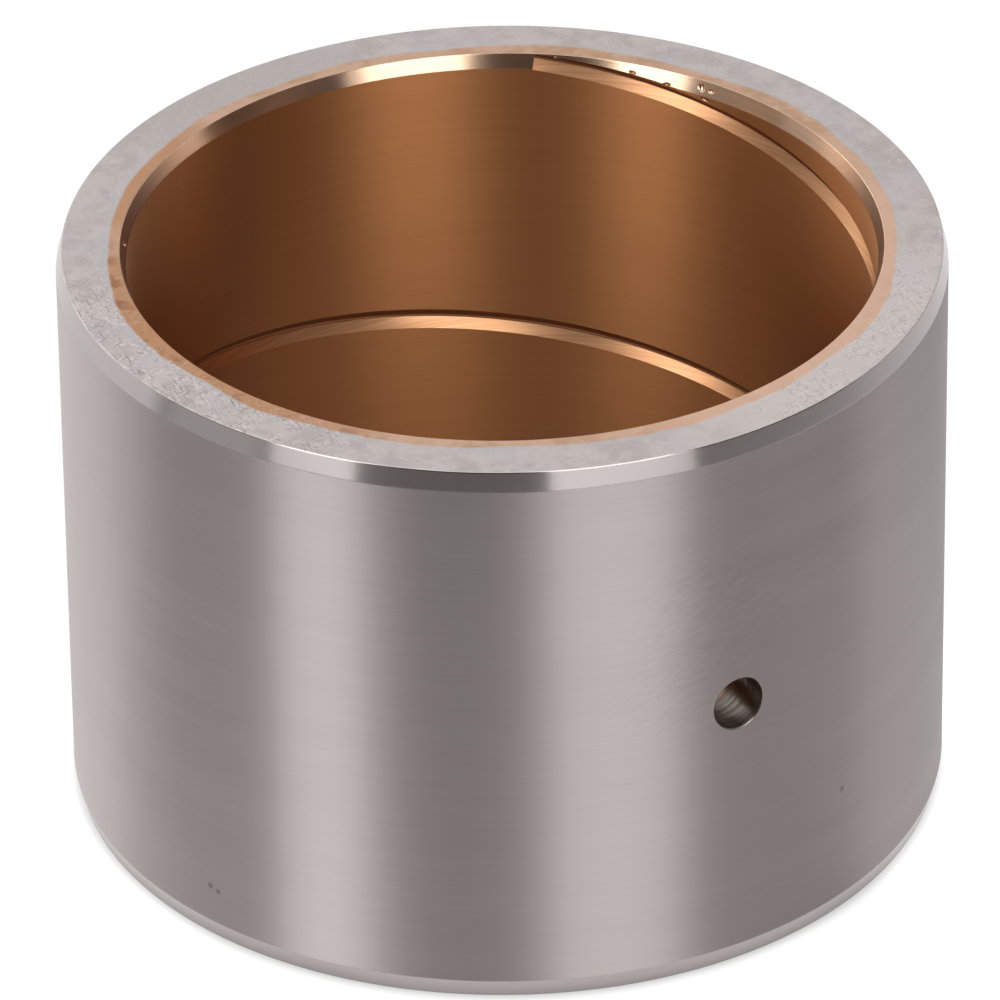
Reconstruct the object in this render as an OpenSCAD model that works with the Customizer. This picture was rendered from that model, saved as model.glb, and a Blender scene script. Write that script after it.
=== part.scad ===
// Steel-backed bronze plain bushing with a helical oil groove and one radial oil hole.
// Axis along +Z, lower end face on Z = 0, oil hole towards -Y. Millimetres.

/* [Main sizes] */
// Outside diameter of the steel shell
outside_d = 95; // [88:0.5:120]
// Running diameter of the bronze bore
bore_d = 80; // [64:0.5:86]
// Length over the two end faces
bush_len = 65; // [45:0.5:120]
// Thickness of the bronze lining on its steel backing
lining_wall = 2.1; // [1.4:0.1:4]

/* [End chamfers] */
// Height of the lead-in chamfer on both outside edges
lead_h = 2.2; // [0.6:0.1:8]
// Angle between the lead-in chamfer and the axis
lead_angle = 15; // [8:1:35]
// Height of the chamfer at both mouths of the bore
mouth_h = 1.6; // [0.6:0.1:3.6]
// Angle between the mouth chamfer and the axis
mouth_angle = 22.5; // [12:0.5:40]

/* [Oil groove] */
// Width of the groove across the bore
groove_w = 2.4; // [1.6:0.1:4]
// Depth of the groove below the bore
groove_depth = 0.85; // [0.3:0.05:1.1]
// Radius of the groove's floor, between its two straight flanks
groove_floor_r = 0.3; // [0.1:0.05:0.7]
// Distance that the groove climbs in one turn
groove_pitch = 34; // [18:1:64]
// Distance from each end face to the middle of the groove where the cut stops
groove_inset = 0.5; // [0.3:0.1:12]
// Azimuth at which the groove starts under the upper end face
groove_azimuth = 54; // [0:1:359]

/* [Oil hole] */
// Diameter of the oil hole
oil_hole_d = 6; // [3:0.5:12]
// Height of the oil hole above (or below) the middle of the length
oil_hole_offset = 0; // [-14:0.5:14]

/* [Hidden] */
$fn = 180;

// The bond between the steel and the bronze is one cylinder, shared by both pieces
bore_r = bore_d / 2;
outside_r = outside_d / 2;
bond_r = bore_r + lining_wall;

// What each chamfer takes off the radius
lead_r = lead_h * tan(lead_angle);
mouth_r = mouth_h * tan(mouth_angle);

// The groove is cut by a pointed tool with a small round nose. Its flanks touch the nose and
// meet the bore at the groove's edges, which sets the angle between a flank and the bore
nose_centre_depth = groove_depth - groove_floor_r;
nose_to_edge = norm([nose_centre_depth, groove_w / 2]);
flank_angle = atan2(nose_centre_depth, groove_w / 2) + asin(groove_floor_r / nose_to_edge);

// The flanks of the tool go on this far past the bore, into the open
flank_reach = 1;
nose_facets = 6;
turn_step = 4;

// The cut runs clockwise and down, from the upper inset to the lower one
groove_climb = bush_len - 2 * groove_inset;
groove_sweep = 360 * groove_climb / groove_pitch;
groove_rings = ceil(groove_sweep / turn_step);
helix_angle = atan(groove_pitch / (2 * PI * bore_r));

oil_hole_z = bush_len / 2 + oil_hole_offset;
hole_overrun = 1;

// A ring turned about the axis: a plain wall at plain_r, and a wall at shaped_r that is
// chamfered at both ends, moved by cut at the end faces over a height h
module turned_ring(plain_r, shaped_r, h, cut) {
    rotate_extrude()
        polygon([
            [plain_r, 0],
            [shaped_r + cut, 0],
            [shaped_r, h],
            [shaped_r, bush_len - h],
            [shaped_r + cut, bush_len],
            [plain_r, bush_len]
        ]);
}

// The oil hole, drilled square to the axis through both layers of the front wall
module oil_hole() {
    drill_from = bore_r - mouth_r - hole_overrun;
    drill_to = outside_r + hole_overrun;
    translate([0, -drill_from, oil_hole_z])
        rotate([90, 0, 0])
            cylinder(h = drill_to - drill_from, d = oil_hole_d);
}

// The section of the groove cutter, as radius and distance across the groove:
// an arc for the nose, and two flanks that run from it to the tool's flat back
function nose_point(i) =
    let (a = flank_angle * (2 * i / nose_facets - 1))
    [bore_r + nose_centre_depth + groove_floor_r * cos(a), groove_floor_r * sin(a)];
back_half = groove_w / 2 + flank_reach / tan(flank_angle);
cutter_section = concat(
    [[bore_r - flank_reach, -back_half]],
    [for (i = [0 : nose_facets]) nose_point(i)],
    [[bore_r - flank_reach, back_half]]
);
section_count = len(cutter_section);

// The section at one step of the helix, set square to its path
function cutter_ring(k) =
    let (
        share = k / groove_rings,
        turn = groove_azimuth - share * groove_sweep,
        height = bush_len - groove_inset - share * groove_climb,
        lean = sin(helix_angle)
    )
    [
        for (p = cutter_section) [
            p[0] * cos(turn) + p[1] * lean * sin(turn),
            p[0] * sin(turn) - p[1] * lean * cos(turn),
            height + p[1] * cos(helix_angle)
        ]
    ];

// The helical cutter: rings of the section joined by triangles, with a flat at each blunt end
module groove_cutter() {
    last = groove_rings * section_count;
    points = [for (k = [0 : groove_rings]) each cutter_ring(k)];
    sides = [
        for (k = [0 : groove_rings - 1], i = [0 : section_count - 1])
            let (
                a = k * section_count + i,
                b = k * section_count + (i + 1) % section_count,
                c = a + section_count,
                d = b + section_count
            )
            each [[a, d, b], [a, c, d]]
    ];
    start_cap = [[for (i = [0 : section_count - 1]) i]];
    end_cap = [[for (i = [section_count - 1 : -1 : 0]) last + i]];
    polyhedron(points = points, faces = concat(sides, start_cap, end_cap), convexity = 12);
}

// Turned steel backing with a lead-in chamfer at both ends
module steel_shell() {
    color([0.70, 0.68, 0.67])
        difference() {
            turned_ring(bond_r, outside_r, lead_h, -lead_r);
            oil_hole();
        }
}

// Bronze lining bonded into the shell, with its mouth chamfers, oil groove and oil hole
module bronze_lining() {
    color([0.72, 0.45, 0.26])
        difference() {
            turned_ring(bond_r, bore_r, mouth_h, mouth_r);
            groove_cutter();
            oil_hole();
        }
}

steel_shell();
bronze_lining();
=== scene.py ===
"""Dress and light a steel-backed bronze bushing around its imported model.

Lengths are in metres, in the part's own frame: the bore runs along +Z, the lower end
face stands on Z = 0 and the oil hole looks towards -Y.
"""

import logging
import math
from collections.abc import Callable, Sequence
from dataclasses import dataclass, field
from enum import IntEnum

import bmesh
import bpy
from mathutils import Matrix, Vector


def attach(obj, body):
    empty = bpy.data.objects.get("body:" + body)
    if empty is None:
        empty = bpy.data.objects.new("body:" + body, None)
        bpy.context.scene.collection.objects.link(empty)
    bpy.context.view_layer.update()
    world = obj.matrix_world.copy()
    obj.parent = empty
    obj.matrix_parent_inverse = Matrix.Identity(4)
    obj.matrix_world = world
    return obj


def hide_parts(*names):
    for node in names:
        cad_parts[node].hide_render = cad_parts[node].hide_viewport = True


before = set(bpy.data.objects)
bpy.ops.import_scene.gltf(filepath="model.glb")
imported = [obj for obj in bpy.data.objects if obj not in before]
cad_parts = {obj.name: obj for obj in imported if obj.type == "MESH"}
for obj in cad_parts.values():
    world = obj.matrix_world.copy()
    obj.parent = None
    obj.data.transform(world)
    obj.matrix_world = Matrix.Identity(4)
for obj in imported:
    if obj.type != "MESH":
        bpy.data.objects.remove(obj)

Socket = bpy.types.NodeSocket
Value = float | Sequence[float] | Socket
Colour = tuple[float, float, float]

log = logging.getLogger("bushing")
MM = 0.001
SAME_PLACE = 1e-7
DOUBLES = 0.5e-6


# Turning, cutting and shading


@dataclass(frozen=True)
class Corner:
    """A corner of a turned profile.

    Attributes:
        radius: Distance from the axis.
        height: Distance along the axis.
        edge: How far the edge break reaches along both sides. Zero leaves the corner sharp.
    """

    radius: float
    height: float
    edge: float = 0.0


@dataclass(frozen=True)
class Spindle:
    """The line that a profile is turned about, and the side that it is drawn on."""

    origin: Vector = field(default_factory=lambda: Vector((0, 0, 0)))
    axis: Vector = field(default_factory=lambda: Vector((0, 0, 1)))
    out: Vector = field(default_factory=lambda: Vector((1, 0, 0)))

    def place(self, radius: float, along: float) -> Vector:
        """Give the point at a radius from the axis and a distance along it."""
        return self.origin + self.axis * along + self.out * radius


def rounded(
    corners: Sequence[Corner], steps: int = 3, hold: float = 0.1 * MM
) -> list[tuple[float, float]]:
    """Round the corners of a closed profile and hold the flats beside them.

    Args:
        corners: The profile's corners, in order.
        steps: Straight steps in each rounded corner.
        hold: Distance from a rounded corner to the point that keeps the flat's shading flat.

    Returns:
        The points of the profile as radius and height.
    """
    points: list[tuple[float, float]] = []
    for i, corner in enumerate(corners):
        here = Vector((corner.radius, corner.height))
        if corner.edge == 0:
            points.append(tuple(here))
            continue
        before, after = (
            (Vector((other.radius, other.height)) - here).normalized()
            for other in (corners[i - 1], corners[(i + 1) % len(corners)])
        )
        half = before.angle(after) / 2
        middle = here + (before + after).normalized() * corner.edge / math.cos(half)
        start, end = here + before * corner.edge - middle, here + after * corner.edge - middle
        sweep = math.remainder(math.atan2(end.y, end.x) - math.atan2(start.y, start.x), math.tau)
        points.append(tuple(here + before * (corner.edge + hold)))
        for k in range(steps + 1):
            points.append(tuple(middle + Matrix.Rotation(sweep * k / steps, 2) @ start))
        points.append(tuple(here + after * (corner.edge + hold)))
    return points


class Workbench:
    """The modelling steps that the pieces share, run with Blender's own operators."""

    @staticmethod
    def take(piece: bpy.types.Object) -> None:
        """Select one object alone and make it the active one."""
        bpy.ops.object.select_all(action="DESELECT")
        piece.select_set(True)
        bpy.context.view_layer.objects.active = piece

    @staticmethod
    def select_where(piece: bpy.types.Object, test: Callable[[Vector], bool]) -> None:
        """Select the vertices of a piece in edit mode that pass a test of their place."""
        mesh = bmesh.from_edit_mesh(piece.data)
        mesh.select_mode = {"VERT"}
        for vertex in mesh.verts:
            vertex.select = test(vertex.co)
        mesh.select_flush_mode()
        bmesh.update_edit_mesh(piece.data)

    @classmethod
    def draw(
        cls, name: str, points: Sequence[tuple[float, float]], spindle: Spindle = Spindle()
    ) -> bpy.types.Object:
        """Draw an outline point by point and stay in edit mode.

        Args:
            name: Name of the new object.
            points: The outline as radius and distance along the axis. One that ends on the
                axis is left open there, and any other is closed.
            spindle: The axis that it is measured from.

        Returns:
            The outline's object.
        """
        bpy.ops.object.select_all(action="DESELECT")
        bpy.ops.mesh.primitive_plane_add(size=MM)
        piece = bpy.context.object
        piece.name = piece.data.name = name
        bpy.ops.object.mode_set(mode="EDIT")
        bpy.ops.mesh.select_mode(type="VERT")
        bpy.ops.mesh.merge(type="CENTER")
        places = [spindle.place(*point) for point in points]
        bpy.ops.transform.translate(value=places[0])
        for start, end in zip(places, places[1:]):
            bpy.ops.mesh.extrude_vertices_move(TRANSFORM_OT_translate={"value": end - start})
        if points[0][0] > 0:
            ends = (places[0], places[-1])
            cls.select_where(piece, lambda at: min((at - end).length for end in ends) < SAME_PLACE)
            bpy.ops.mesh.edge_face_add()
        bpy.ops.mesh.select_all(action="SELECT")
        return piece

    @classmethod
    def turn(
        cls,
        name: str,
        points: Sequence[tuple[float, float]],
        steps: int,
        spindle: Spindle = Spindle(),
    ) -> bpy.types.Object:
        """Draw a profile and spin it into a closed solid.

        Args:
            name: Name of the new object.
            points: The profile, as draw takes it.
            steps: Steps in the full turn.
            spindle: The axis that it is turned about.

        Returns:
            The turned piece.
        """
        piece = cls.draw(name, points, spindle)
        bpy.ops.mesh.spin(
            steps=steps,
            angle=math.tau,
            center=spindle.origin,
            axis=spindle.axis,
            use_auto_merge=False,
        )
        cls.close_up(piece)
        bpy.ops.object.mode_set(mode="OBJECT")
        return piece

    @staticmethod
    def close_up(piece: bpy.types.Object) -> None:
        """Merge doubles and turn the faces outwards, in edit mode."""
        bpy.ops.mesh.select_all(action="SELECT")
        bpy.ops.mesh.remove_doubles(threshold=DOUBLES)
        bpy.ops.mesh.select_all(action="SELECT")
        bpy.ops.mesh.normals_make_consistent(inside=False)

    @classmethod
    def cut(cls, piece: bpy.types.Object, cutter: bpy.types.Object) -> None:
        """Take the cutter's shape out of a piece and apply the result."""
        cls.take(piece)
        taken = piece.modifiers.new("Cut", "BOOLEAN")
        taken.operation = "DIFFERENCE"
        taken.solver = "EXACT"
        taken.object = cutter
        bpy.ops.object.modifier_apply(modifier=taken.name)

    @staticmethod
    def discard(*cutters: bpy.types.Object) -> None:
        """Delete cutters that have done their work."""
        for cutter in cutters:
            bpy.data.objects.remove(cutter, do_unlink=True)

    @classmethod
    def smooth(cls, piece: bpy.types.Object, angle: float = 30.0) -> None:
        """Shade a piece smooth, with edges sharper than the angle left sharp."""
        cls.take(piece)
        bpy.ops.object.shade_smooth_by_angle(angle=math.radians(angle))

    @classmethod
    def dress(
        cls,
        piece: bpy.types.Object,
        finishes: Sequence[bpy.types.Material],
        zone: Callable[[Vector, Vector], int],
    ) -> None:
        """Give each face the finish of its zone.

        Args:
            piece: The piece to dress.
            finishes: Its materials, in slot order.
            zone: Gives the slot of a face from its centre and its normal.
        """
        piece.data.materials.clear()
        for finish in finishes:
            piece.data.materials.append(finish)
        for face in piece.data.polygons:
            face.material_index = zone(face.center, face.normal)


class Recipe:
    """A material, and short calls that add nodes to it."""

    def __init__(self, name: str) -> None:
        """Start a material with one Principled shader and the object's own coordinates."""
        self.material = bpy.data.materials.new(name)
        self.material.use_nodes = True
        self.tree = self.material.node_tree
        self.shader = self.tree.nodes["Principled BSDF"]
        self.here = self.node("ShaderNodeTexCoord").outputs["Object"]

    def node(
        self, kind: str, inputs: dict[int | str, Value] | None = None, **settings: object
    ) -> bpy.types.Node:
        """Add a node.

        Args:
            kind: Blender's name for the node's type.
            inputs: Values or sockets for its inputs.
            **settings: Its properties.

        Returns:
            The new node.
        """
        made = self.tree.nodes.new(kind)
        for key, value in settings.items():
            setattr(made, key, value)
        self.feed(made, inputs or {})
        return made

    def feed(self, node: bpy.types.Node, inputs: dict[int | str, Value]) -> None:
        """Set or link the inputs of a node."""
        for key, value in inputs.items():
            if isinstance(value, Socket):
                self.tree.links.new(value, node.inputs[key])
            else:
                node.inputs[key].default_value = value

    def maths(
        self, operation: str, first: Value, second: Value = 0.0, clamp: bool = False
    ) -> Socket:
        """Add a Math node and give its result."""
        inputs = {0: first, 1: second}
        return self.node("ShaderNodeMath", inputs, operation=operation, use_clamp=clamp).outputs[0]

    def vector(
        self, operation: str, first: Value, second: Value = (0.0, 0.0, 0.0), give: str = "Vector"
    ) -> Socket:
        """Add a Vector Math node and give its result, a Vector or a Value."""
        inputs = {0: first, 1: second}
        return self.node("ShaderNodeVectorMath", inputs, operation=operation).outputs[give]

    def dot(self, first: Value, second: Value) -> Socket:
        """Give the dot product of two vectors."""
        return self.vector("DOT_PRODUCT", first, second, "Value")

    def length(self, at: Value) -> Socket:
        """Give the length of a vector."""
        return self.vector("LENGTH", at, give="Value")

    def stretched(self, scale: Sequence[float]) -> Socket:
        """Scale the object's coordinates by a different amount along each axis."""
        return self.vector("MULTIPLY", self.here, scale)

    def facing(self, at: Socket, azimuth: float) -> Socket:
        """Give the cosine of the angle between a unit vector and a direction, in degrees."""
        return self.dot(at, bearing(azimuth))

    def noise(
        self, at: Socket, scale: float = 1.0, detail: float = 2.0, rough: float = 0.5
    ) -> Socket:
        """Add a noise texture and give its grey value, about 0.5 on average."""
        inputs = {"Vector": at, "Scale": scale, "Detail": detail, "Roughness": rough}
        return self.node("ShaderNodeTexNoise", inputs).outputs["Fac"]

    def strokes(self, turn: float, level: bool, length: float, width: float) -> Socket:
        """Make noise drawn out into strokes that run one way.

        Args:
            turn: Direction of the strokes, in degrees.
            level: Whether they lie level or on a wall that looks along Y.
            length: Length of the strokes.
            width: Their width.

        Returns:
            The grey value, about 0.5 on average.
        """
        c, s = math.cos(math.radians(turn)), math.sin(math.radians(turn))
        run, side = ((c, s, 0.0), (-s, c, 0.0)) if level else ((c, 0.0, s), (-s, 0.0, c))
        along = self.maths("MULTIPLY", self.dot(self.here, run), 1 / length)
        across = self.maths("MULTIPLY", self.dot(self.here, side), 1 / width)
        place = self.node("ShaderNodeCombineXYZ", {0: along, 1: across}).outputs[0]
        return self.noise(place, detail=3.0)

    def between(
        self, value: Value, low: float, high: float, start: float = 0.0, end: float = 1.0
    ) -> Socket:
        """Map a value smoothly from one range to another, clamped at both ends."""
        made = self.node(
            "ShaderNodeMapRange",
            {"Value": value, "From Min": low, "From Max": high, "To Min": start, "To Max": end},
            interpolation_type="SMOOTHSTEP",
        )
        return made.outputs["Result"]

    def blend(self, share: Value, first: Value, second: Value) -> Socket:
        """Mix two colours and give the result."""
        sides = [side if isinstance(side, Socket) else (*side, 1.0) for side in (first, second)]
        made = self.node("ShaderNodeMix", {0: share, 6: sides[0], 7: sides[1]}, data_type="RGBA")
        return made.outputs[2]

    def bump(self, height: Socket, depth: float) -> Socket:
        """Turn a height into a normal."""
        inputs = {"Height": height, "Distance": depth, "Strength": 1.0}
        return self.node("ShaderNodeBump", inputs).outputs["Normal"]


def bearing(azimuth: float) -> tuple[float, float, float]:
    """Give the level unit vector that points in a direction, in degrees."""
    turn = math.radians(azimuth)
    return math.cos(turn), math.sin(turn), 0.0


# Finishes


@dataclass(frozen=True)
class Scuff:
    """A patch of faint slanting scratches on the side of the part that looks towards -Y.

    Attributes:
        x: Where its middle is, across.
        z: Where its middle is, up.
        reach: Distance from there at which it has faded out.
        lean: Slope of the scratches, in degrees.
        strength: How much they darken and brighten the metal.
        core: The share of the reach within which they are at full strength.
        stroke: Length and width of a scratch.
        dark: Colour of the scratches that lie in shade.
        light: Colour of the ones that catch the light.
    """

    x: float
    z: float
    reach: float
    lean: float
    strength: float
    core: float = 0.3
    stroke: tuple[float, float] = (2.6 * MM, 0.36 * MM)
    dark: Colour = (0.2, 0.185, 0.175)
    light: Colour = (0.62, 0.57, 0.55)

    def tint(self, mix: Recipe, colour: Socket) -> Socket:
        """Draw the scratches over a colour."""
        streaks = mix.strokes(self.lean, False, *self.stroke)
        side_on = mix.stretched((1.0, 0.0, 1.0))
        away = mix.length(mix.vector("SUBTRACT", side_on, (self.x, 0.0, self.z)))
        near = mix.between(away, self.core * self.reach, self.reach, self.strength, 0.0)
        front = mix.maths("LESS_THAN", mix.dot(mix.here, (0.0, 1.0, 0.0)), 0.0)
        near = mix.maths("MULTIPLY", near, front)
        dark = mix.maths("MULTIPLY", mix.between(streaks, 0.36, 0.5, 1.0, 0.0), near)
        light = mix.maths("MULTIPLY", mix.between(streaks, 0.58, 0.68), near)
        return mix.blend(light, mix.blend(dark, colour, self.dark), self.light)


@dataclass(frozen=True)
class TurnedMetal:
    """Metal with fine lines that run round the axis, ground, bored or turned.

    Attributes:
        name: Name of the material.
        colour: Colour between the lines.
        line_colour: Colour of the darker lines.
        roughness: Roughness of the surface.
        anisotropy: How much wider a highlight is along the axis than round it.
        line_depth: Depth of the lines.
        lines_per_metre: How close the lines lie.
        scuffs: Patches of scratches on it.
        nick_shade_specks: Azimuth in degrees, height and radius of the dark marks on its wall:
            painted shade where small nicks dent it, drawn in colour instead of shape.
        uneven: The share by which the roughness varies from place to place.
        nick_shade_colour: Colour of that painted shade.
        nick_shade_strength: How much of the metal's colour the painted shade covers.
        wall_r: Radius of the wall that carries the painted nick shade.
    """

    name: str
    colour: Colour
    line_colour: Colour
    roughness: float
    anisotropy: float
    line_depth: float
    lines_per_metre: float = 5200.0
    scuffs: Sequence[Scuff] = ()
    nick_shade_specks: Sequence[tuple[float, float, float]] = ()
    uneven: float = 0.02
    nick_shade_colour: Colour = (0.16, 0.14, 0.13)
    nick_shade_strength: float = 0.6
    wall_r: float = 47.5 * MM

    def make(self) -> bpy.types.Material:
        """Build the material."""
        mix = Recipe(self.name)
        lines = mix.noise(mix.stretched((45.0, 45.0, self.lines_per_metre)), detail=3.0, rough=0.6)
        broad = mix.noise(mix.stretched((25.0, 25.0, 260.0)), detail=2.0)
        colour = mix.blend(mix.between(lines, 0.35, 0.65), self.line_colour, self.colour)
        for scuff in self.scuffs:
            colour = scuff.tint(mix, colour)
        # Painted shade: dark marks where small nicks dent the wall, in colour instead of shape.
        for azimuth, height, size in self.nick_shade_specks:
            place = Vector(bearing(azimuth)) * self.wall_r + Vector((0, 0, height))
            away = mix.vector("DISTANCE", mix.here, place, "Value")
            nick_shade = mix.between(away, 0.4 * size, size, self.nick_shade_strength, 0.0)
            colour = mix.blend(nick_shade, colour, self.nick_shade_colour)
        smoother, rougher = (self.roughness * (1.0 + part) for part in (-self.uneven, self.uneven))
        around = mix.node("ShaderNodeTangent", direction_type="RADIAL", axis="Z").outputs[0]
        mix.feed(
            mix.shader,
            {
                "Metallic": 1.0,
                "Base Color": colour,
                "Roughness": mix.between(broad, 0.3, 0.7, smoother, rougher),
                "Anisotropic": self.anisotropy,
                "Anisotropic Rotation": 0.25,
                "Tangent": around,
                "Normal": mix.bump(lines, self.line_depth),
            },
        )
        return mix.material


@dataclass(frozen=True)
class DrilledMetal:
    """The wall of the drilled hole, with the rings that the drill's feed left.

    Attributes:
        name: Name of the material.
        colour: Colour on the rings.
        dark: Colour between them.
        roughness: Roughness of the surface.
        uneven: How far the roughness varies to both sides.
        ring_depth: Depth of the rings.
        rings_per_metre: How close the rings lie.
    """

    name: str
    colour: Colour
    dark: Colour
    roughness: float = 0.36
    uneven: float = 0.08
    ring_depth: float = 0.012 * MM
    rings_per_metre: float = 3600.0

    def make(self) -> bpy.types.Material:
        """Build the material."""
        mix = Recipe(self.name)
        rings = mix.noise(mix.stretched((150.0, self.rings_per_metre, 150.0)), detail=1.0)
        rougher, smoother = self.roughness + self.uneven, self.roughness - self.uneven
        mix.feed(
            mix.shader,
            {
                "Metallic": 1.0,
                "Base Color": mix.blend(mix.between(rings, 0.42, 0.6), self.dark, self.colour),
                "Roughness": mix.between(rings, 0.35, 0.65, rougher, smoother),
                "Normal": mix.bump(rings, self.ring_depth),
            },
        )
        return mix.material


@dataclass(frozen=True)
class LightAndStainPatch:
    """A part of the end faces painted in another colour, fading out round the ring: lighter as
    painted light, darker as painted shade, and in one place stain as well.

    Attributes:
        azimuth: Direction of its middle, in degrees.
        spread: Cosines of the angles from there at which it starts and is full.
        colour: Its colour.
        strength: How much of the metal's colour it covers.
    """

    azimuth: float
    spread: tuple[float, float]
    colour: Colour
    strength: float = 0.9

    def cover(self, mix: Recipe, heading: Socket, colour: Socket) -> Socket:
        """Lay the patch over a colour.

        Args:
            mix: The recipe to draw it in.
            heading: Unit vector that points from the axis to a place.
            colour: The colour to lay it over.

        Returns:
            The new colour.
        """
        near = mix.between(mix.facing(heading, self.azimuth), *self.spread, 0.0, self.strength)
        return mix.blend(near, colour, self.colour)


@dataclass(frozen=True)
class FacedEnd:
    """The faced ends of both metals, with handling marks, painted light and shade round the ring
    and a bond edge that wanders.

    Attributes:
        name: Name of the material.
        steel: Colour of the steel.
        steel_dark: Its darker mottling.
        steel_cool: Its cooler mottling, strongest beside the bond.
        bronze: Colour of the bronze.
        bronze_dark: Its darker mottling.
        stain: Colour of the stains on the bronze.
        stained: Direction in which the bronze is stained most, in degrees.
        light_and_stain_patches: Parts of the bronze's ring with another colour: painted light,
            lighter towards 306 degrees, painted shade, darker towards 129, and towards 184 a
            darker, redder part that is stain and painted shade.
        steel_light_patches: Parts of the steel's ring with another colour: painted light, lighter
            towards 296 degrees, and painted shade, darker towards 100.
        bond_r: Radius of the bond.
        smear: How far past the bond the bronze is smeared.
        wander: How far that edge wanders to both sides.
        blur: Distances from the edge between which bronze gives way to steel.
        worn: Directions in which the handling marks are strongest, and how strong they are.
        leans: Directions that the scratches run in, in degrees.
        scratch: Length and width of a scratch.
        scratch_dark: Colour of the deep scratches.
        scratch_light: Colour of the bright ones.
        roughness: Roughness of both metals.
        uneven: How far the roughness varies to both sides.
        grain_depth: Depth of the grain.
    """

    name: str = "faced_ends"
    steel: Colour = (0.62, 0.555, 0.53)
    steel_dark: Colour = (0.53, 0.47, 0.445)
    steel_cool: Colour = (0.56, 0.53, 0.53)
    bronze: Colour = (0.66, 0.435, 0.31)
    bronze_dark: Colour = (0.56, 0.35, 0.22)
    stain: Colour = (0.36, 0.15, 0.07)
    stained: float = 184.0
    # Painted light towards 306 degrees, painted shade towards 129, and stain with painted shade
    # towards 184.
    light_and_stain_patches: Sequence[LightAndStainPatch] = (
        LightAndStainPatch(184.0, (0.76, 0.97), (0.53, 0.275, 0.13)),
        LightAndStainPatch(129.0, (0.93, 0.99), (0.56, 0.30, 0.16)),
        LightAndStainPatch(306.0, (0.45, 0.92), (0.74, 0.49, 0.355)),
    )
    # Painted light towards 296 degrees and painted shade towards 100.
    steel_light_patches: Sequence[LightAndStainPatch] = (
        LightAndStainPatch(296.0, (0.80, 0.98), (0.68, 0.61, 0.58), 0.8),
        LightAndStainPatch(100.0, (0.90, 0.99), (0.53, 0.475, 0.45), 0.8),
    )
    bond_r: float = 42.1 * MM
    smear: float = 0.1 * MM
    wander: float = 0.42 * MM
    blur: tuple[float, float] = (-0.16 * MM, 0.24 * MM)
    worn: Sequence[tuple[float, float]] = ((188.0, 1.0), (302.0, 0.55))
    leans: Sequence[float] = (78.0, 124.0, 20.0)
    scratch: tuple[float, float] = (1.5 * MM, 0.3 * MM)
    scratch_dark: Colour = (0.27, 0.23, 0.22)
    scratch_light: Colour = (0.84, 0.79, 0.76)
    roughness: float = 0.5
    uneven: float = 0.06
    grain_depth: float = 0.02 * MM

    def make(self) -> bpy.types.Material:
        """Build the material."""
        mix = Recipe(self.name)
        flat = mix.stretched((1.0, 1.0, 0.0))
        radius = mix.length(flat)
        heading = mix.vector("NORMALIZE", flat)
        grain = mix.noise(mix.here, scale=2600.0, detail=4.0, rough=0.65)
        cloud = mix.noise(mix.here, scale=330.0, detail=4.0, rough=0.6)
        mottle = mix.between(cloud, 0.36, 0.6)

        ragged = mix.noise(mix.here, scale=75.0, detail=3.0, rough=0.45)
        middle = self.bond_r + self.smear
        edge = mix.between(ragged, 0.28, 0.72, middle - self.wander, middle + self.wander)
        past = mix.between(mix.maths("SUBTRACT", radius, edge), *self.blur)
        bronze = self.bronze_ring(mix, mottle, radius, heading)
        colour = mix.blend(past, bronze, self.steel_ring(mix, mottle, radius, heading))

        marks, bright = self.marks(mix, heading, mix.between(past, 0.0, 1.0, 0.35, 1.0))
        colour = mix.blend(mix.maths("MULTIPLY", bright, 0.5), colour, self.scratch_light)
        colour = mix.blend(mix.maths("MULTIPLY", marks, 0.55), colour, self.scratch_dark)
        height = mix.maths("SUBTRACT", grain, mix.maths("MULTIPLY", marks, 2.0))
        smoother, rougher = self.roughness - self.uneven, self.roughness + self.uneven
        mix.feed(
            mix.shader,
            {
                "Metallic": 1.0,
                "Base Color": colour,
                "Roughness": mix.between(grain, 0.3, 0.7, smoother, rougher),
                "Normal": mix.bump(height, self.grain_depth),
            },
        )
        return mix.material

    def steel_ring(self, mix: Recipe, mottle: Socket, radius: Socket, heading: Socket) -> Socket:
        """Colour the steel, with painted light and shade round the ring.

        Args:
            mix: The recipe to draw it in.
            mottle: How much of a place is free of the darker mottling.
            radius: Distance of a place from the axis.
            heading: Unit vector that points from the axis to it.

        Returns:
            The steel's colour.
        """
        tint = mix.noise(mix.here, scale=110.0, detail=3.0)
        beside = mix.between(radius, self.bond_r, self.bond_r + 1.6 * MM, 0.6, 0.0)
        cool = mix.maths("ADD", beside, mix.between(tint, 0.5, 0.7, 0.0, 0.6), clamp=True)
        colour = mix.blend(cool, mix.blend(mottle, self.steel_dark, self.steel), self.steel_cool)
        # Painted light and shade: the steel lighter on one side of the ring, darker on the other.
        for patch in self.steel_light_patches:
            colour = patch.cover(mix, heading, colour)
        return colour

    def bronze_ring(self, mix: Recipe, mottle: Socket, radius: Socket, heading: Socket) -> Socket:
        """Colour the bronze, paint light and shade round the ring and stain it towards the bond.

        Args:
            mix: The recipe to draw it in.
            mottle: How much of a place is free of the darker mottling.
            radius: Distance of a place from the axis.
            heading: Unit vector that points from the axis to it.

        Returns:
            The bronze's colour.
        """
        colour = mix.blend(mottle, self.bronze_dark, self.bronze)
        # Painted light and shade round the ring, and a redder part that is also stain.
        for patch in self.light_and_stain_patches:
            colour = patch.cover(mix, heading, colour)
        stain = mix.between(mix.noise(mix.here, scale=390.0, detail=2.0), 0.5, 0.64, 0.0, 0.85)
        rim = mix.between(radius, self.bond_r - 1.6 * MM, self.bond_r - 0.1 * MM, 0.12, 1.0)
        most = mix.between(mix.facing(heading, self.stained), 0.7, 0.94, 0.08, 1.0)
        stain = mix.maths("MULTIPLY", mix.maths("MULTIPLY", stain, rim), most)
        return mix.blend(stain, colour, self.stain)

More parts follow.
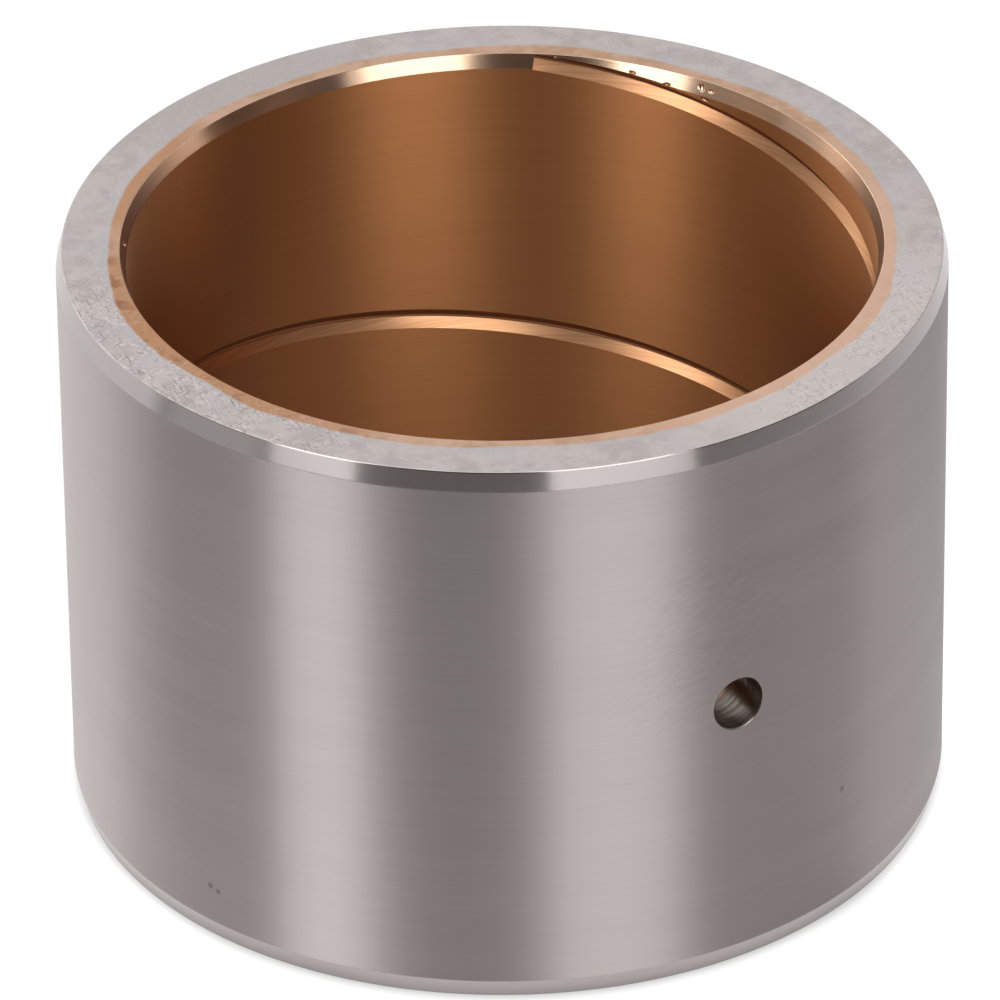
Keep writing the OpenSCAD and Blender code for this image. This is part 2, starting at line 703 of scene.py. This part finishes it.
    def marks(self, mix: Recipe, heading: Socket, share: Socket) -> tuple[Socket, Socket]:
        """Draw short scratches that cross each other, in patches.

        Args:
            mix: The recipe to draw them in.
            heading: Unit vector that points from the axis to a place.
            share: How much of them there is on this metal.

        Returns:
            How deep the dark scratches are and how strong the bright ones are, from 0 to 1.
        """
        spread: Value = 0.2
        for azimuth, worn in self.worn:
            near = mix.between(mix.facing(heading, azimuth), 0.78, 0.97, 0.0, worn)
            spread = mix.maths("MAXIMUM", spread, near)
        broken = mix.between(mix.noise(mix.here, scale=320.0, detail=3.0), 0.37, 0.54)
        spread = mix.maths("MULTIPLY", mix.maths("MULTIPLY", spread, broken), share)
        dark: Value = 0.0
        bright: Value = 0.0
        for turn in self.leans:
            streaks = mix.strokes(turn, True, *self.scratch)
            dark = mix.maths("MAXIMUM", dark, mix.between(streaks, 0.56, 0.66))
            bright = mix.maths("MAXIMUM", bright, mix.between(streaks, 0.34, 0.43, 1.0, 0.0))
        return mix.maths("MULTIPLY", dark, spread), mix.maths("MULTIPLY", bright, spread)


# The bushing's pieces


class ShellZone(IntEnum):
    """The finishes of the steel shell, in slot order."""

    GROUND = 0
    TURNED = 1
    FACED = 2
    DRILLED = 3


class LiningZone(IntEnum):
    """The finishes of the bronze lining, in slot order."""

    BORED = 0
    CUT = 1
    FACED = 2
    GROOVED = 3
    DRILLED = 4


@dataclass(frozen=True)
class BushingSizes:
    """The sizes that both pieces share, as in the part's source.

    Attributes:
        outside_r: Radius of the ground wall.
        bore_r: Radius of the bore.
        bond_r: Radius of the bond between the two metals.
        length: Length over the end faces.
        lead_h: Height of the lead-in chamfers.
        lead_angle: Angle between them and the axis.
        mouth_h: Height of the mouth chamfers.
        mouth_angle: Angle between them and the axis.
        hole_r: Radius of the oil hole.
        turn_steps: Steps in the full turn of a piece.
    """

    outside_r: float = 47.5 * MM
    bore_r: float = 40.0 * MM
    bond_r: float = 42.1 * MM
    length: float = 65.0 * MM
    lead_h: float = 2.2 * MM
    lead_angle: float = math.radians(15)
    mouth_h: float = 1.6 * MM
    mouth_angle: float = math.radians(22.5)
    hole_r: float = 3.0 * MM
    turn_steps: int = 720

    @property
    def lead_r(self) -> float:
        """What the lead-in chamfer takes off the outside radius."""
        return self.lead_h * math.tan(self.lead_angle)

    @property
    def mouth_r(self) -> float:
        """What the mouth chamfer adds to the bore radius."""
        return self.mouth_h * math.tan(self.mouth_angle)

    def from_end(self, at: Vector) -> float:
        """Give the height between a place and the nearer end face."""
        return min(at.z, self.length - at.z)

    def by_the_hole(self, at: Vector) -> bool:
        """Tell whether a place lies in the oil hole or on its rim."""
        return at.y < 0 and math.hypot(at.x, at.z - self.length / 2) < self.hole_r + 0.3 * MM


@dataclass
class OilHole:
    """The drill that makes the oil hole through both layers.

    Attributes:
        sizes: The bushing's sizes.
        feed: Distance from one feed mark to the next.
        ripple: Depth of the feed marks where the drill tore the metal.
        calm: The share of that depth elsewhere.
        torn: Depths below the outside wall between which the metal is torn.
        edge: Size of the small cone at the outer rim.
        steps: Steps round the hole.
    """

    sizes: BushingSizes
    feed: float = 0.42 * MM
    ripple: float = 0.04 * MM
    calm: float = 0.06
    torn: Sequence[tuple[float, float]] = ((2.6 * MM, 4.1 * MM), (5.4 * MM, 6.6 * MM))
    edge: float = 0.13 * MM
    steps: int = 96

    def cutter(self) -> bpy.types.Object:
        """Turn the drill: feed marks along its side and a small cone where it enters."""
        middle = Vector((0, 0, self.sizes.length / 2))
        spindle = Spindle(middle, Vector((0, -1, 0)), Vector((1, 0, 0)))
        hole_r, rim = self.sizes.hole_r, self.sizes.outside_r
        near, far = self.sizes.bore_r - 4 * MM, rim + 2 * MM
        points = [(0.0, near), (hole_r, near)]
        along = self.sizes.bore_r - 0.4 * MM
        while along < rim - self.edge - self.feed:
            torn = any(start < rim - along < end for start, end in self.torn)
            ripple = self.ripple * (1.0 if torn else self.calm)
            points += [(hole_r, along), (hole_r + ripple, along + 0.7 * self.feed)]
            along += self.feed
        points += [
            (hole_r, rim - self.edge),
            (hole_r + self.edge, rim),
            (hole_r + self.edge + 2 * MM, far),
            (0.0, far),
        ]
        return Workbench.turn("oil_hole_drill", points, self.steps, spindle)


@dataclass
class OilGroove:
    """The helical groove in the bore: two straight flanks and a small round floor.

    Attributes:
        sizes: The bushing's sizes.
        width: Width of the groove across the bore.
        depth: Depth of the groove below the bore.
        floor_r: Radius of its floor.
        pitch: How far it climbs in one turn.
        inset: Distance from each end face to the middle of its blunt end.
        azimuth: Direction of its upper end.
        reach: How far the cutter stands out of the bronze.
        floor_steps: Steps in the round floor.
        steps: Steps along the helix.
    """

    sizes: BushingSizes
    width: float = 2.4 * MM
    depth: float = 0.85 * MM
    floor_r: float = 0.3 * MM
    pitch: float = 34.0 * MM
    inset: float = 0.5 * MM
    azimuth: float = math.radians(54)
    reach: float = 0.8 * MM
    floor_steps: int = 10
    steps: int = 720

    def section(self) -> list[tuple[float, float]]:
        """Give the cutter's outline as radius from the axis and distance across the groove."""
        half = self.width / 2
        centre = self.depth - self.floor_r
        flank = math.atan2(centre, half) + math.asin(self.floor_r / math.hypot(centre, half))
        back = half + self.reach / math.tan(flank)
        points = [(self.sizes.bore_r - self.reach, -back)]
        for k in range(self.floor_steps + 1):
            turn = flank * (2 * k / self.floor_steps - 1)
            radius = self.sizes.bore_r + centre + self.floor_r * math.cos(turn)
            points.append((radius, self.floor_r * math.sin(turn)))
        return points + [(self.sizes.bore_r - self.reach, back)]

    def cutter(self) -> bpy.types.Object:
        """Sweep the section up the helix, from the lower blunt end to the upper one."""
        climb = self.sizes.length - 2 * self.inset
        sweep = math.tau * climb / self.pitch
        start = self.azimuth - sweep
        lean = math.atan(self.pitch / (math.tau * self.sizes.bore_r))
        out = Vector((math.cos(start), math.sin(start), 0))
        tilt = math.sin(lean)
        across = Vector((math.sin(start) * tilt, -math.cos(start) * tilt, math.cos(lean)))
        spindle = Spindle(Vector((0, 0, self.inset)), across, out)
        piece = Workbench.draw("oil_groove_cutter", self.section(), spindle)
        bpy.ops.object.mode_set(mode="OBJECT")
        sweeper = piece.modifiers.new("Helix", "SCREW")
        sweeper.axis = "Z"
        sweeper.angle = sweep / 2
        sweeper.screw_offset = climb / 2
        sweeper.iterations = 2
        sweeper.steps = sweeper.render_steps = self.steps // 2
        bpy.ops.object.modifier_apply(modifier=sweeper.name)
        bpy.ops.object.mode_set(mode="EDIT")
        Workbench.close_up(piece)
        bpy.ops.mesh.select_all(action="DESELECT")
        bpy.ops.mesh.select_mode(type="EDGE")
        bpy.ops.mesh.select_non_manifold(extend=False)
        bpy.ops.mesh.fill_holes(sides=0)
        Workbench.close_up(piece)
        bpy.ops.object.mode_set(mode="OBJECT")
        return piece


@dataclass(frozen=True)
class Nick:
    """A small dent in the bore, as a hard grain would leave it.

    Attributes:
        azimuth: Its direction from the axis, in degrees.
        height: Its height above the lower end face.
        radius: Distance of the surface from the axis there.
        grain: Half the grain's height.
        depth: How deep it is.
        length: Length of the grain over its height.
        lean: Slope of the grain, in degrees.
        bright: Whether it is as bright as the fresh cuts.
    """

    azimuth: float
    height: float
    radius: float
    grain: float
    depth: float
    length: float = 1.6
    lean: float = 0.0
    bright: bool = False

    @property
    def middle(self) -> Vector:
        """The middle of the grain."""
        out = self.radius - self.grain + self.depth
        return Vector(bearing(self.azimuth)) * out + Vector((0, 0, self.height))

    @staticmethod
    def cutter(nicks: Sequence["Nick"]) -> bpy.types.Object:
        """Make one cutter for all the nicks of a piece and give the grains, joined."""
        bpy.ops.object.select_all(action="DESELECT")
        grains = []
        for nick in nicks:
            bpy.ops.mesh.primitive_ico_sphere_add(
                subdivisions=3, radius=nick.grain, location=nick.middle
            )
            grain = bpy.context.object
            grain.rotation_euler = math.radians(nick.lean), 0.0, math.radians(nick.azimuth)
            grain.scale = 1.0, nick.length, 1.0
            grains.append(grain)
        for grain in grains:
            grain.select_set(True)
        bpy.ops.object.join()
        bpy.ops.object.transform_apply()
        return bpy.context.object


@dataclass
class SteelShell:
    """The turned steel backing, ground outside, with a lead-in chamfer at both ends."""

    sizes: BushingSizes
    ground: TurnedMetal = TurnedMetal(
        name="ground_steel",
        colour=(0.415, 0.373, 0.368),
        line_colour=(0.402, 0.36, 0.355),
        roughness=0.49,
        anisotropy=1.0,
        line_depth=0.0006 * MM,
        lines_per_metre=6000.0,
        scuffs=(
            Scuff(-2.5 * MM, 45.0 * MM, reach=13.0 * MM, lean=21.0, strength=0.12),
            Scuff(-9.0 * MM, 36.0 * MM, reach=7.0 * MM, lean=24.0, strength=0.1),
        ),
        # Painted shade where small nicks dent the ground wall.
        nick_shade_specks=(
            (287.6, 15.6 * MM, 0.45 * MM),
            (197.3, 6.6 * MM, 0.5 * MM),
            (198.6, 6.3 * MM, 0.4 * MM),
            (324.0, 57.5 * MM, 0.5 * MM),
        ),
    )
    turned: TurnedMetal = TurnedMetal(
        name="turned_steel",
        colour=(0.42, 0.385, 0.38),
        line_colour=(0.405, 0.37, 0.365),
        roughness=0.19,
        anisotropy=0.9,
        line_depth=0.0006 * MM,
    )
    drilled: DrilledMetal = DrilledMetal(
        name="drilled_steel", colour=(0.24, 0.21, 0.185), dark=(0.18, 0.158, 0.14)
    )

    def build(self, drill: bpy.types.Object, faced: bpy.types.Material) -> bpy.types.Object:
        """Turn the shell, drill it and dress it.

        Args:
            drill: The cutter of the oil hole.
            faced: The finish of the faced ends.

        Returns:
            The finished shell.
        """
        s = self.sizes
        lead = s.outside_r - s.lead_r
        profile = rounded(
            [
                Corner(s.bond_r, 0),
                Corner(lead, 0, 0.1 * MM),
                Corner(s.outside_r, s.lead_h, 0.12 * MM),
                Corner(s.outside_r, s.length - s.lead_h, 0.12 * MM),
                Corner(lead, s.length, 0.1 * MM),
                Corner(s.bond_r, s.length),
            ]
        )
        piece = Workbench.turn("turned_steel_shell", profile, s.turn_steps)
        Workbench.cut(piece, drill)
        Workbench.smooth(piece)
        finishes = [self.ground.make(), self.turned.make(), faced, self.drilled.make()]
        Workbench.dress(piece, finishes, self.zone)
        return piece

    def zone(self, at: Vector, normal: Vector) -> int:
        """Tell the ground wall, the turned chamfers, the faced ends and the hole apart."""
        s = self.sizes
        if abs(normal.z) > 0.75:
            return ShellZone.FACED if s.from_end(at) < s.lead_h / 2 else ShellZone.DRILLED
        if s.from_end(at) < s.lead_h:
            return ShellZone.TURNED
        inside = normal.x * at.x + normal.y * at.y < 0.9 * math.hypot(at.x, at.y)
        return ShellZone.DRILLED if s.by_the_hole(at) and inside else ShellZone.GROUND


@dataclass
class BronzeLining:
    """The bronze layer inside the shell, with mouth chamfers, oil groove and oil hole."""

    sizes: BushingSizes
    bored: TurnedMetal = TurnedMetal(
        name="bored_bronze",
        colour=(0.45, 0.198, 0.079),
        line_colour=(0.43, 0.187, 0.073),
        roughness=0.56,
        anisotropy=0.92,
        line_depth=0.0006 * MM,
        lines_per_metre=7000.0,
    )
    cut: TurnedMetal = TurnedMetal(
        name="cut_bronze",
        colour=(0.66, 0.465, 0.33),
        line_colour=(0.62, 0.435, 0.30),
        roughness=0.24,
        anisotropy=0.9,
        line_depth=0.0008 * MM,
    )
    grooved: TurnedMetal = TurnedMetal(
        name="grooved_bronze",
        colour=(0.47, 0.25, 0.13),
        line_colour=(0.38, 0.19, 0.095),
        roughness=0.3,
        anisotropy=0.0,
        line_depth=0.003 * MM,
    )
    drilled: DrilledMetal = DrilledMetal(
        name="drilled_bronze", colour=(0.26, 0.19, 0.145), dark=(0.16, 0.105, 0.075)
    )
    nicks: Sequence[Nick] = (
        Nick(26.3, 64.35 * MM, 40.4 * MM, 0.6 * MM, 0.2 * MM, 1.2, 35.0, True),
        Nick(24.4, 64.25 * MM, 40.36 * MM, 0.4 * MM, 0.13 * MM, 1.3, -30.0, True),
        Nick(25.4, 63.05 * MM, 40.05 * MM, 0.36 * MM, 0.17 * MM, 2.4, 10.0),
        Nick(32.3, 63.66 * MM, 40.12 * MM, 0.3 * MM, 0.13 * MM, 2.0, -12.0),
        Nick(38.3, 64.16 * MM, 40.32 * MM, 0.26 * MM, 0.11 * MM, 2.2, 8.0),
        Nick(50.5, 64.75 * MM, 40.55 * MM, 0.24 * MM, 0.08 * MM, 1.8, 25.0),
        Nick(146.9, 64.35 * MM, 40.42 * MM, 0.4 * MM, 0.09 * MM, 1.9, 50.0, True),
    )

    def build(
        self, drill: bpy.types.Object, groove: bpy.types.Object, faced: bpy.types.Material
    ) -> bpy.types.Object:
        """Turn the lining, cut its groove, drill it and dress it.

        Args:
            drill: The cutter of the oil hole.
            groove: The cutter of the oil groove.
            faced: The finish of the faced ends.

        Returns:
            The finished lining.
        """
        s = self.sizes
        mouth = s.bore_r + s.mouth_r
        profile = rounded(
            [
                Corner(s.bond_r, 0),
                Corner(mouth, 0, 0.06 * MM),
                Corner(s.bore_r, s.mouth_h, 0.08 * MM),
                Corner(s.bore_r, s.length - s.mouth_h, 0.08 * MM),
                Corner(mouth, s.length, 0.06 * MM),
                Corner(s.bond_r, s.length),
            ]
        )
        piece = Workbench.turn("bored_bronze_lining", profile, s.turn_steps)
        dents = Nick.cutter(self.nicks)
        Workbench.cut(piece, groove)
        Workbench.cut(piece, drill)
        Workbench.cut(piece, dents)
        Workbench.discard(dents)
        Workbench.smooth(piece)
        bored, cut, grooved = self.bored.make(), self.cut.make(), self.grooved.make()
        Workbench.dress(piece, [bored, cut, faced, grooved, self.drilled.make()], self.zone)
        return piece

    def zone(self, at: Vector, normal: Vector) -> int:
        """Tell the bored wall, the fresh cuts, the faced ends, the groove and the hole apart."""
        s = self.sizes
        end = s.from_end(at)
        if abs(normal.z) > 0.9 and end < 0.3 * MM:
            return LiningZone.FACED
        if s.by_the_hole(at) and abs(normal.y) < 0.9:
            return LiningZone.DRILLED
        bright = (nick for nick in self.nicks if nick.bright)
        if any((at - nick.middle).length < nick.grain * nick.length for nick in bright):
            return LiningZone.CUT
        turned_r = s.bore_r + max(s.mouth_h - end, 0) * math.tan(s.mouth_angle)
        if abs(math.hypot(at.x, at.y) - turned_r) > 0.03 * MM:
            return LiningZone.GROOVED
        return LiningZone.CUT if end < s.mouth_h else LiningZone.BORED


# The studio


@dataclass
class StudioCamera:
    """The camera of the picture, worked out from the bushing's round edges.

    Attributes:
        lens: Focal length for a 36 mm sensor, in millimetres.
        distance: From the middle of the upper end face.
        elevation: Height of the camera above that face, in degrees.
        aim: How far it is turned from that middle: sideways, downwards and about its axis.
        turn: Azimuth of the picture's own frame in the part's frame, in degrees.
        target: Height of the upper end face.
    """

    lens: float = 372.85
    distance: float = 1.10164
    elevation: float = 30.392
    aim: tuple[float, float, float] = (-0.0324, 1.4335, -0.6940)
    turn: float = -30.66
    target: float = 65.0 * MM

    def build(self) -> bpy.types.Object:
        """Place the camera and make it the scene's."""
        yaw, pitch, roll = (math.radians(angle) for angle in self.aim)
        high = math.radians(self.elevation)
        down = high + pitch
        ahead = math.cos(down)
        place = Vector((0, -math.cos(high), math.sin(high))) * self.distance
        forward = Vector((math.sin(yaw) * ahead, math.cos(yaw) * ahead, -math.sin(down)))
        level = Vector((math.cos(yaw), -math.sin(yaw), 0))
        upright = level.cross(forward)
        right = level * math.cos(roll) + upright * math.sin(roll)
        up = upright * math.cos(roll) - level * math.sin(roll)
        pose = Matrix((right, up, -forward)).transposed().to_4x4()
        pose.translation = place + Vector((0, 0, self.target))
        data = bpy.data.cameras.new("studio_camera")
        data.lens, data.sensor_width, data.sensor_fit = self.lens, 36.0, "HORIZONTAL"
        data.clip_end = 50.0
        camera = bpy.data.objects.new("studio_camera", data)
        camera.matrix_world = Matrix.Rotation(math.radians(self.turn), 4, "Z") @ pose
        bpy.context.collection.objects.link(camera)
        bpy.context.scene.camera = camera
        return camera


@dataclass(frozen=True)
class SoftBox:
    """A rectangular lamp that looks down at the bushing.

    Attributes:
        name: Name of the lamp.
        azimuth: Direction from the bushing, in degrees in the part's frame.
        elevation: Height of its middle above the horizon, in degrees.
        width: Width of its face.
        height: Height of its face.
        level: How bright its face is, where 1 is white.
        distance: From the bushing.
    """

    name: str
    azimuth: float
    elevation: float
    width: float
    height: float
    level: float
    distance: float = 1.3

    def build(self) -> bpy.types.Object:
        """Add the lamp."""
        turn, high = math.radians(self.azimuth), math.radians(self.elevation)
        level = math.cos(high)
        towards = Vector((math.cos(turn) * level, math.sin(turn) * level, math.sin(high)))
        data = bpy.data.lights.new(self.name, "AREA")
        data.shape, data.size, data.size_y = "RECTANGLE", self.width, self.height
        data.energy = self.level * math.pi * self.width * self.height
        lamp = bpy.data.objects.new(self.name, data)
        lamp.location = towards * self.distance
        lamp.rotation_euler = towards.to_track_quat("Z", "Y").to_euler()
        bpy.context.collection.objects.link(lamp)
        return lamp


@dataclass(frozen=True)
class WhiteTable:
    """The table top, which glows where it shows: painted light, stronger in some directions than
    others and dimmed as painted shade inside the bushing and round its foot; the cast shadow
    darkens only its paint.

    Attributes:
        size: Side of the square top.
        paint: Grey of the top, for the light that falls on it.
        glow: What the camera and the metal see on top of that.
        painted_shade_glow: The share of the glow that is left inside the bushing and round its
            foot, as painted shade.
        painted_shade_r: Distances from the axis between which the glow grows from that painted
            shade to its full strength.
        sweep: Middle direction of the part that glows as far as the backdrop, in degrees.
        sweep_edge: Cosines of the angles from there between which that part begins.
        bright: The direction in which that part glows most, in degrees.
        bright_edge: Cosines of the angles from there between which it gets brighter.
        bright_share: The shares of the glow at those two angles.
        gap: Middle direction of the dimmer part on its left, and the share of the glow there.
        gap_edge: Cosines of the angles from there between which that part begins.
        brighter: Directions in which the nearest part glows more, and how much.
        brighter_edge: Cosines of the angles from those between which it glows more.
        nearest: Distances from the axis between which that fades out.
        middle: Direction and distance of the middle of the near part that glows.
        fade: Distances from there between which the glow fades out.
        rest: The share of the glow that is left beyond that.
    """

    size: float = 12.0
    paint: float = 0.26
    glow: float = 0.80
    painted_shade_glow: float = 0.45
    painted_shade_r: tuple[float, float] = (46.2 * MM, 48.6 * MM)
    sweep: float = 64.8
    sweep_edge: tuple[float, float] = (-0.02, 0.12)
    bright: float = 100.0
    bright_edge: tuple[float, float] = (-0.4, 0.6)
    bright_share: tuple[float, float] = (0.15, 0.97)
    gap: tuple[float, float] = (168.0, 0.5)
    gap_edge: tuple[float, float] = (0.96, 0.985)
    brighter: Sequence[tuple[float, float]] = ((-35.0, 0.25), (166.0, 0.15))
    brighter_edge: tuple[float, float] = (0.82, 0.96)
    nearest: tuple[float, float] = (0.12, 0.22)
    middle: tuple[float, float] = (-30.66, 0.09)
    fade: tuple[float, float] = (0.14, 0.34)
    rest: float = 0.04

    def build(self) -> bpy.types.Object:
        """Add the table and paint it."""
        bpy.ops.object.select_all(action="DESELECT")
        bpy.ops.mesh.primitive_plane_add(size=self.size)
        top = bpy.context.object
        top.name = "table"
        mix = Recipe("white_table")
        rays = mix.node("ShaderNodeLightPath").outputs
        seen = mix.maths("ADD", rays["Is Camera Ray"], rays["Is Glossy Ray"])
        seen = mix.maths("ADD", seen, rays["Is Transmission Ray"], clamp=True)
        mix.feed(
            mix.shader,
            {
                "Base Color": (self.paint, self.paint, self.paint, 1.0),
                "Roughness": 0.9,
                "Specular IOR Level": 0.0,
                "Emission Color": (1.0, 1.0, 1.0, 1.0),
                "Emission Strength": mix.maths("MULTIPLY", seen, self.pattern(mix)),
            },
        )
        top.data.materials.append(mix.material)
        return top

    def pattern(self, mix: Recipe) -> Socket:
        """Draw how strongly each place of the table glows."""
        heading = mix.vector("NORMALIZE", mix.here)
        radius = mix.length(mix.here)
        behind = mix.maths(
            "MULTIPLY",
            mix.between(mix.facing(heading, self.sweep), *self.sweep_edge),
            mix.between(mix.facing(heading, self.bright), *self.bright_edge, *self.bright_share),
        )
        middle = Vector(bearing(self.middle[0])) * self.middle[1]
        away = mix.length(mix.vector("SUBTRACT", mix.here, middle))
        lit = mix.maths("MAXIMUM", behind, mix.between(away, *self.fade, 1.0, self.rest))
        azimuth, share = self.gap
        aside = mix.between(mix.facing(heading, azimuth), *self.gap_edge, 0.0, share)
        lit = mix.maths("MAXIMUM", lit, aside)
        near = mix.between(radius, *self.nearest, 1.0, 0.0)
        for azimuth, more in self.brighter:
            extra = mix.between(mix.facing(heading, azimuth), *self.brighter_edge, 0.0, more)
            more_lit = mix.maths("ADD", mix.maths("MULTIPLY", near, extra), 1.0)
            lit = mix.maths("MULTIPLY", lit, more_lit)
        # Painted shade: the glow is dimmer inside the bushing and round its foot.
        inside = self.glow * self.painted_shade_glow
        return mix.maths("MULTIPLY", lit, mix.between(radius, *self.painted_shade_r, inside, self.glow))


@dataclass(frozen=True)
class Room:
    """What surrounds the table: a pale backdrop behind the bushing, dark on the camera's side.

    Attributes:
        stops: Directions in degrees in the part's frame, from -180 to 180, and the colour there.
        level: How bright the stops' colours are.
        fade: Heights, as the sine of the elevation, between which the backdrop gets darker.
        top: The share of the level that is left above.
    """

    stops: Sequence[tuple[float, Colour]] = (
        (-180.0, (0.19, 0.18, 0.175)),
        (-172.0, (0.022, 0.016, 0.014)),
        (-60.0, (0.022, 0.016, 0.014)),
        (-45.0, (0.036, 0.024, 0.02)),
        (-27.0, (0.036, 0.024, 0.02)),
        (-23.0, (0.58, 0.57, 0.57)),
        (15.0, (0.42, 0.42, 0.44)),
        (40.0, (0.37, 0.37, 0.39)),
        (80.0, (0.72, 0.74, 0.76)),
        (104.0, (1.15, 1.15, 1.12)),
        (125.0, (1.15, 1.15, 1.12)),
        (137.0, (0.52, 0.52, 0.53)),
        (148.0, (0.40, 0.40, 0.40)),
        (151.0, (0.19, 0.18, 0.175)),
        (180.0, (0.19, 0.18, 0.175)),
    )
    level: float = 2.0
    fade: tuple[float, float] = (0.32, 0.5)
    top: float = 0.45

    def build(self) -> bpy.types.World:
        """Build the world around the scene."""
        world = bpy.data.worlds.new("studio")
        world.use_nodes = True
        nodes, link = world.node_tree.nodes, world.node_tree.links.new
        place = nodes.new("ShaderNodeSeparateXYZ")
        link(nodes.new("ShaderNodeTexCoord").outputs["Generated"], place.inputs[0])
        turn = nodes.new("ShaderNodeMath")
        turn.operation = "ARCTAN2"
        link(place.outputs[1], turn.inputs[0])
        link(place.outputs[0], turn.inputs[1])
        share = nodes.new("ShaderNodeMapRange")
        share.inputs["From Min"].default_value = -math.pi
        share.inputs["From Max"].default_value = math.pi
        link(turn.outputs[0], share.inputs["Value"])
        ramp = nodes.new("ShaderNodeValToRGB")
        link(share.outputs["Result"], ramp.inputs[0])
        row = ramp.color_ramp.elements
        for azimuth, colour in self.stops[1:-1]:
            row.new((azimuth + 180) / 360).color = (*colour, 1.0)
        row[0].color, row[-1].color = (*self.stops[0][1], 1.0), (*self.stops[-1][1], 1.0)
        link(ramp.outputs[0], nodes["Background"].inputs["Color"])
        dim = nodes.new("ShaderNodeMapRange")
        dim.inputs["From Min"].default_value, dim.inputs["From Max"].default_value = self.fade
        dim.inputs["To Min"].default_value = self.level
        dim.inputs["To Max"].default_value = self.level * self.top
        link(place.outputs[2], dim.inputs["Value"])
        link(dim.outputs["Result"], nodes["Background"].inputs["Strength"])
        bpy.context.scene.world = world
        return world


@dataclass
class Studio:
    """A white table, a pale backdrop behind the bushing and soft boxes in front of it."""

    camera: StudioCamera = field(default_factory=StudioCamera)
    boxes: Sequence[SoftBox] = (
        SoftBox("left_box_low", 193.2, 9.5, 0.49, 0.42, 2.45),
        SoftBox("left_box_high", 193.2, 34.0, 0.49, 0.84, 4.35),
        SoftBox("right_box_low", 267.4, 9.5, 0.82, 0.42, 2.1),
        SoftBox("right_box_high", 265.0, 34.0, 0.69, 0.84, 3.6),
        SoftBox("left_fill", 160.0, 45.0, 0.6, 0.7, 0.3),
        SoftBox("right_fill", 316.0, 42.0, 0.9, 0.7, 0.35),
        SoftBox("ceiling", 0.0, 90.0, 2.0, 2.0, 0.75),
    )
    table: WhiteTable = WhiteTable()
    room: Room = Room()

    def build(self) -> None:
        """Set up the table, the room, the lamps and the camera."""
        self.camera.build()
        for box in self.boxes:
            box.build()
        self.table.build()
        self.room.build()
        bpy.context.scene.view_settings.view_transform = "Standard"


def main() -> None:
    """Build the bushing's pieces and the studio in order."""
    logging.basicConfig(level=logging.INFO, format="%(message)s")
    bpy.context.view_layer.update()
    sizes = BushingSizes()
    drill = OilHole(sizes).cutter()
    groove = OilGroove(sizes).cutter()
    faced = FacedEnd(bond_r=sizes.bond_r).make()
    pieces = (
        (SteelShell(sizes).build(drill, faced), "steel_shell", "steel"),
        (BronzeLining(sizes).build(drill, groove, faced), "bronze_lining", "bronze"),
    )
    Workbench.discard(drill, groove)
    for piece, node, slot in pieces:
        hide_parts(node)
        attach(piece, "root")
        log.info("%s: %d faces, stands for %s", piece.name, len(piece.data.polygons), node)
    Studio().build()


if __name__ == "__main__":
    main()
